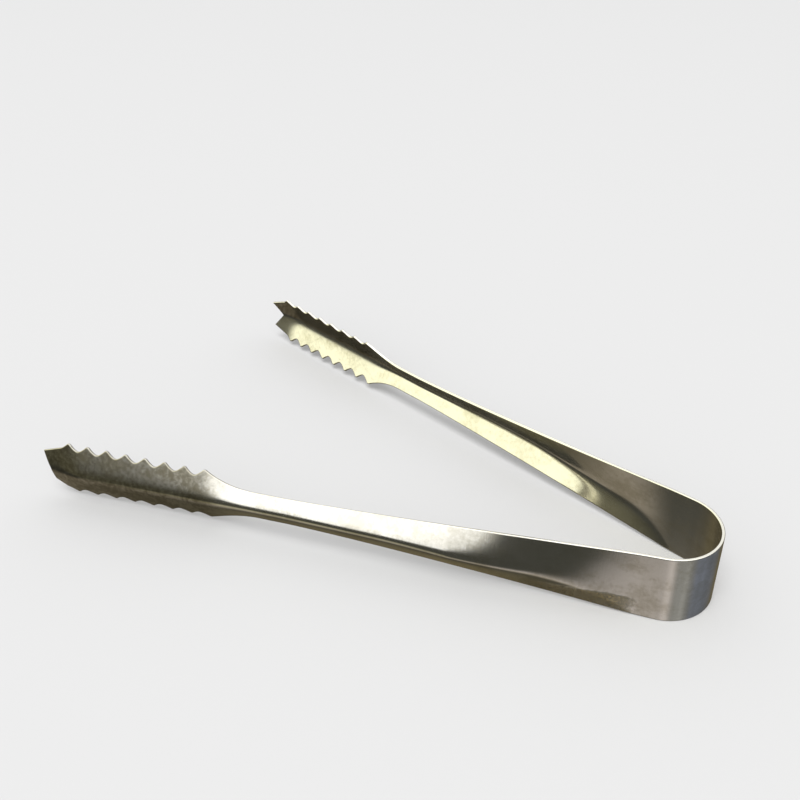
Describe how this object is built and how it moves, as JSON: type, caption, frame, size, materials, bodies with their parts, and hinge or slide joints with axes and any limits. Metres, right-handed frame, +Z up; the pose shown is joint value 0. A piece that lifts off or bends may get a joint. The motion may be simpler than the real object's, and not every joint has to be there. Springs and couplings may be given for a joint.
{
  "type": "ice tongs",
  "caption": "Spring tongs bent from one strip of sheet steel, with V-section arms and toothed, fork-tipped claws for picking up ice.",
  "frame": {"origin": "under the middle of the tongs, level with the bow's lower edge, on the plane between the two arms", "axes": "+X towards the bow's crown, +Y towards the right arm, +Z up; the tongs lie on edge"},
  "size_m": [0.1779, 0.1076, 0.02],
  "materials": {
    "steel": "worn polish"
  },
  "bodies": {
    "bow": {"bow_crown": "steel"},
    "left_bend": {"left_shoulder": "steel"},
    "left_limb": {"left_arm": "steel"},
    "right_bend": {"right_shoulder": "steel"},
    "right_limb": {"right_arm": "steel"}
  },
  "joints": [
    {"name": "left_bow_flex", "type": "hinge", "parent": "bow", "child": "left_bend", "pos_m": [0.08697, -0.00622, 0.01], "axis": [0, 0, -1], "range_deg": [-2, 8.4], "stiffness_Nm_per_rad": 8},
    {"name": "left_arm_flex", "type": "hinge", "parent": "left_bend", "child": "left_limb", "pos_m": [0.07638, -0.01291, 0.01], "axis": [0, 0, -1], "range_deg": [-2, 8.4], "stiffness_Nm_per_rad": 8},
    {"name": "right_bow_flex", "type": "hinge", "parent": "bow", "child": "right_bend", "pos_m": [0.08697, 0.00622, 0.01], "axis": [0, 0, 1], "range_deg": [-2, 8.4], "stiffness_Nm_per_rad": 8},
    {"name": "right_arm_flex", "type": "hinge", "parent": "right_bend", "child": "right_limb", "pos_m": [0.07638, 0.01291, 0.01], "axis": [0, 0, 1], "range_deg": [-2, 8.4], "stiffness_Nm_per_rad": 8}
  ],
  "couplings": [
    {"joint": "left_arm_flex", "follows": "left_bow_flex", "ratio": 1},
    {"joint": "right_bow_flex", "follows": "left_bow_flex", "ratio": 1},
    {"joint": "right_arm_flex", "follows": "left_bow_flex", "ratio": 1}
  ]
}
